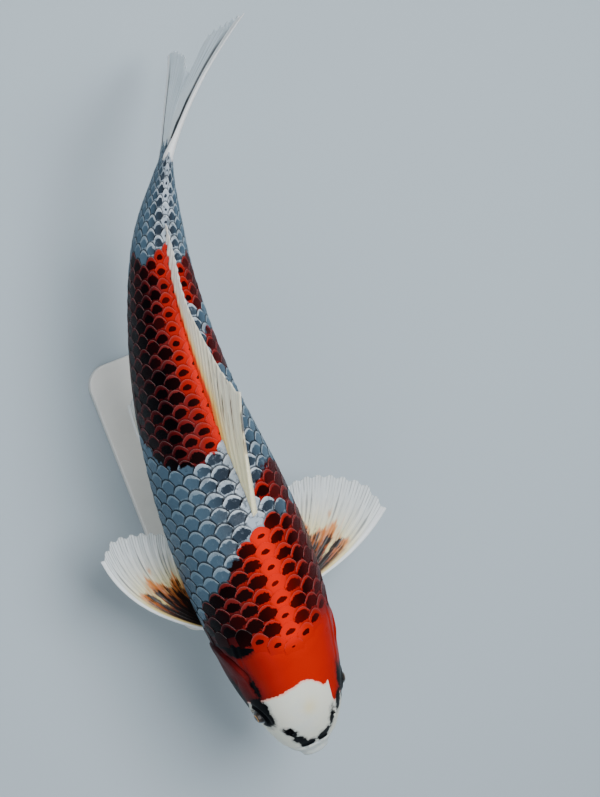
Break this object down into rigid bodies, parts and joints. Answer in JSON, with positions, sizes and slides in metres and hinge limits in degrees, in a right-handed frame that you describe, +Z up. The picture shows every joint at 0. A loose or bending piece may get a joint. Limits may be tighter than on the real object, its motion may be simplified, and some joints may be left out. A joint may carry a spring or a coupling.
{
  "type": "koi carp model",
  "caption": "Life-size koi carp in a gentle left turn, fins spread, red and white with dark-netted scales, held by rods over a flat display base.",
  "frame": {"origin": "on the table, under the middle of the model's box", "axes": "+Z up, the head faces -Y, the fish's left is +X, the tail swings towards +X"},
  "size_m": [0.209, 0.5002, 0.2047],
  "materials": {
    "skin": "moist satin skin and scales: red, white and grey grounds, dark scale centres",
    "fin": "thin wet membrane over bony rays, cream to clear, streaked at the root",
    "eye": "polished dark eye with a narrow pale ring",
    "barbel": "soft wet skin",
    "stand_paint": "satin pale grey paint",
    "stand_steel": "fine brushed steel"
  },
  "bodies": {
    "root": {"head": "skin", "lower_jaw": "skin", "gill_cover_left": "skin", "gill_cover_right": "skin", "trunk_front": "skin", "trunk_rear": "skin", "tail_stalk": "skin", "dorsal_fin": "fin", "anal_fin": "fin", "pectoral_fin_left": "fin", "pectoral_fin_right": "fin", "pelvic_fin_left": "fin", "pelvic_fin_right": "fin", "tail_fin_upper": "fin", "tail_fin_lower": "fin", "eye_left": "eye", "eye_right": "eye", "barbel_upper_left": "barbel", "barbel_upper_right": "barbel", "barbel_corner_left": "barbel", "barbel_corner_right": "barbel", "stand_base": "stand_paint", "stand_rod_front": "stand_steel", "stand_rod_rear": "stand_steel"}
  },
  "joints": []
}
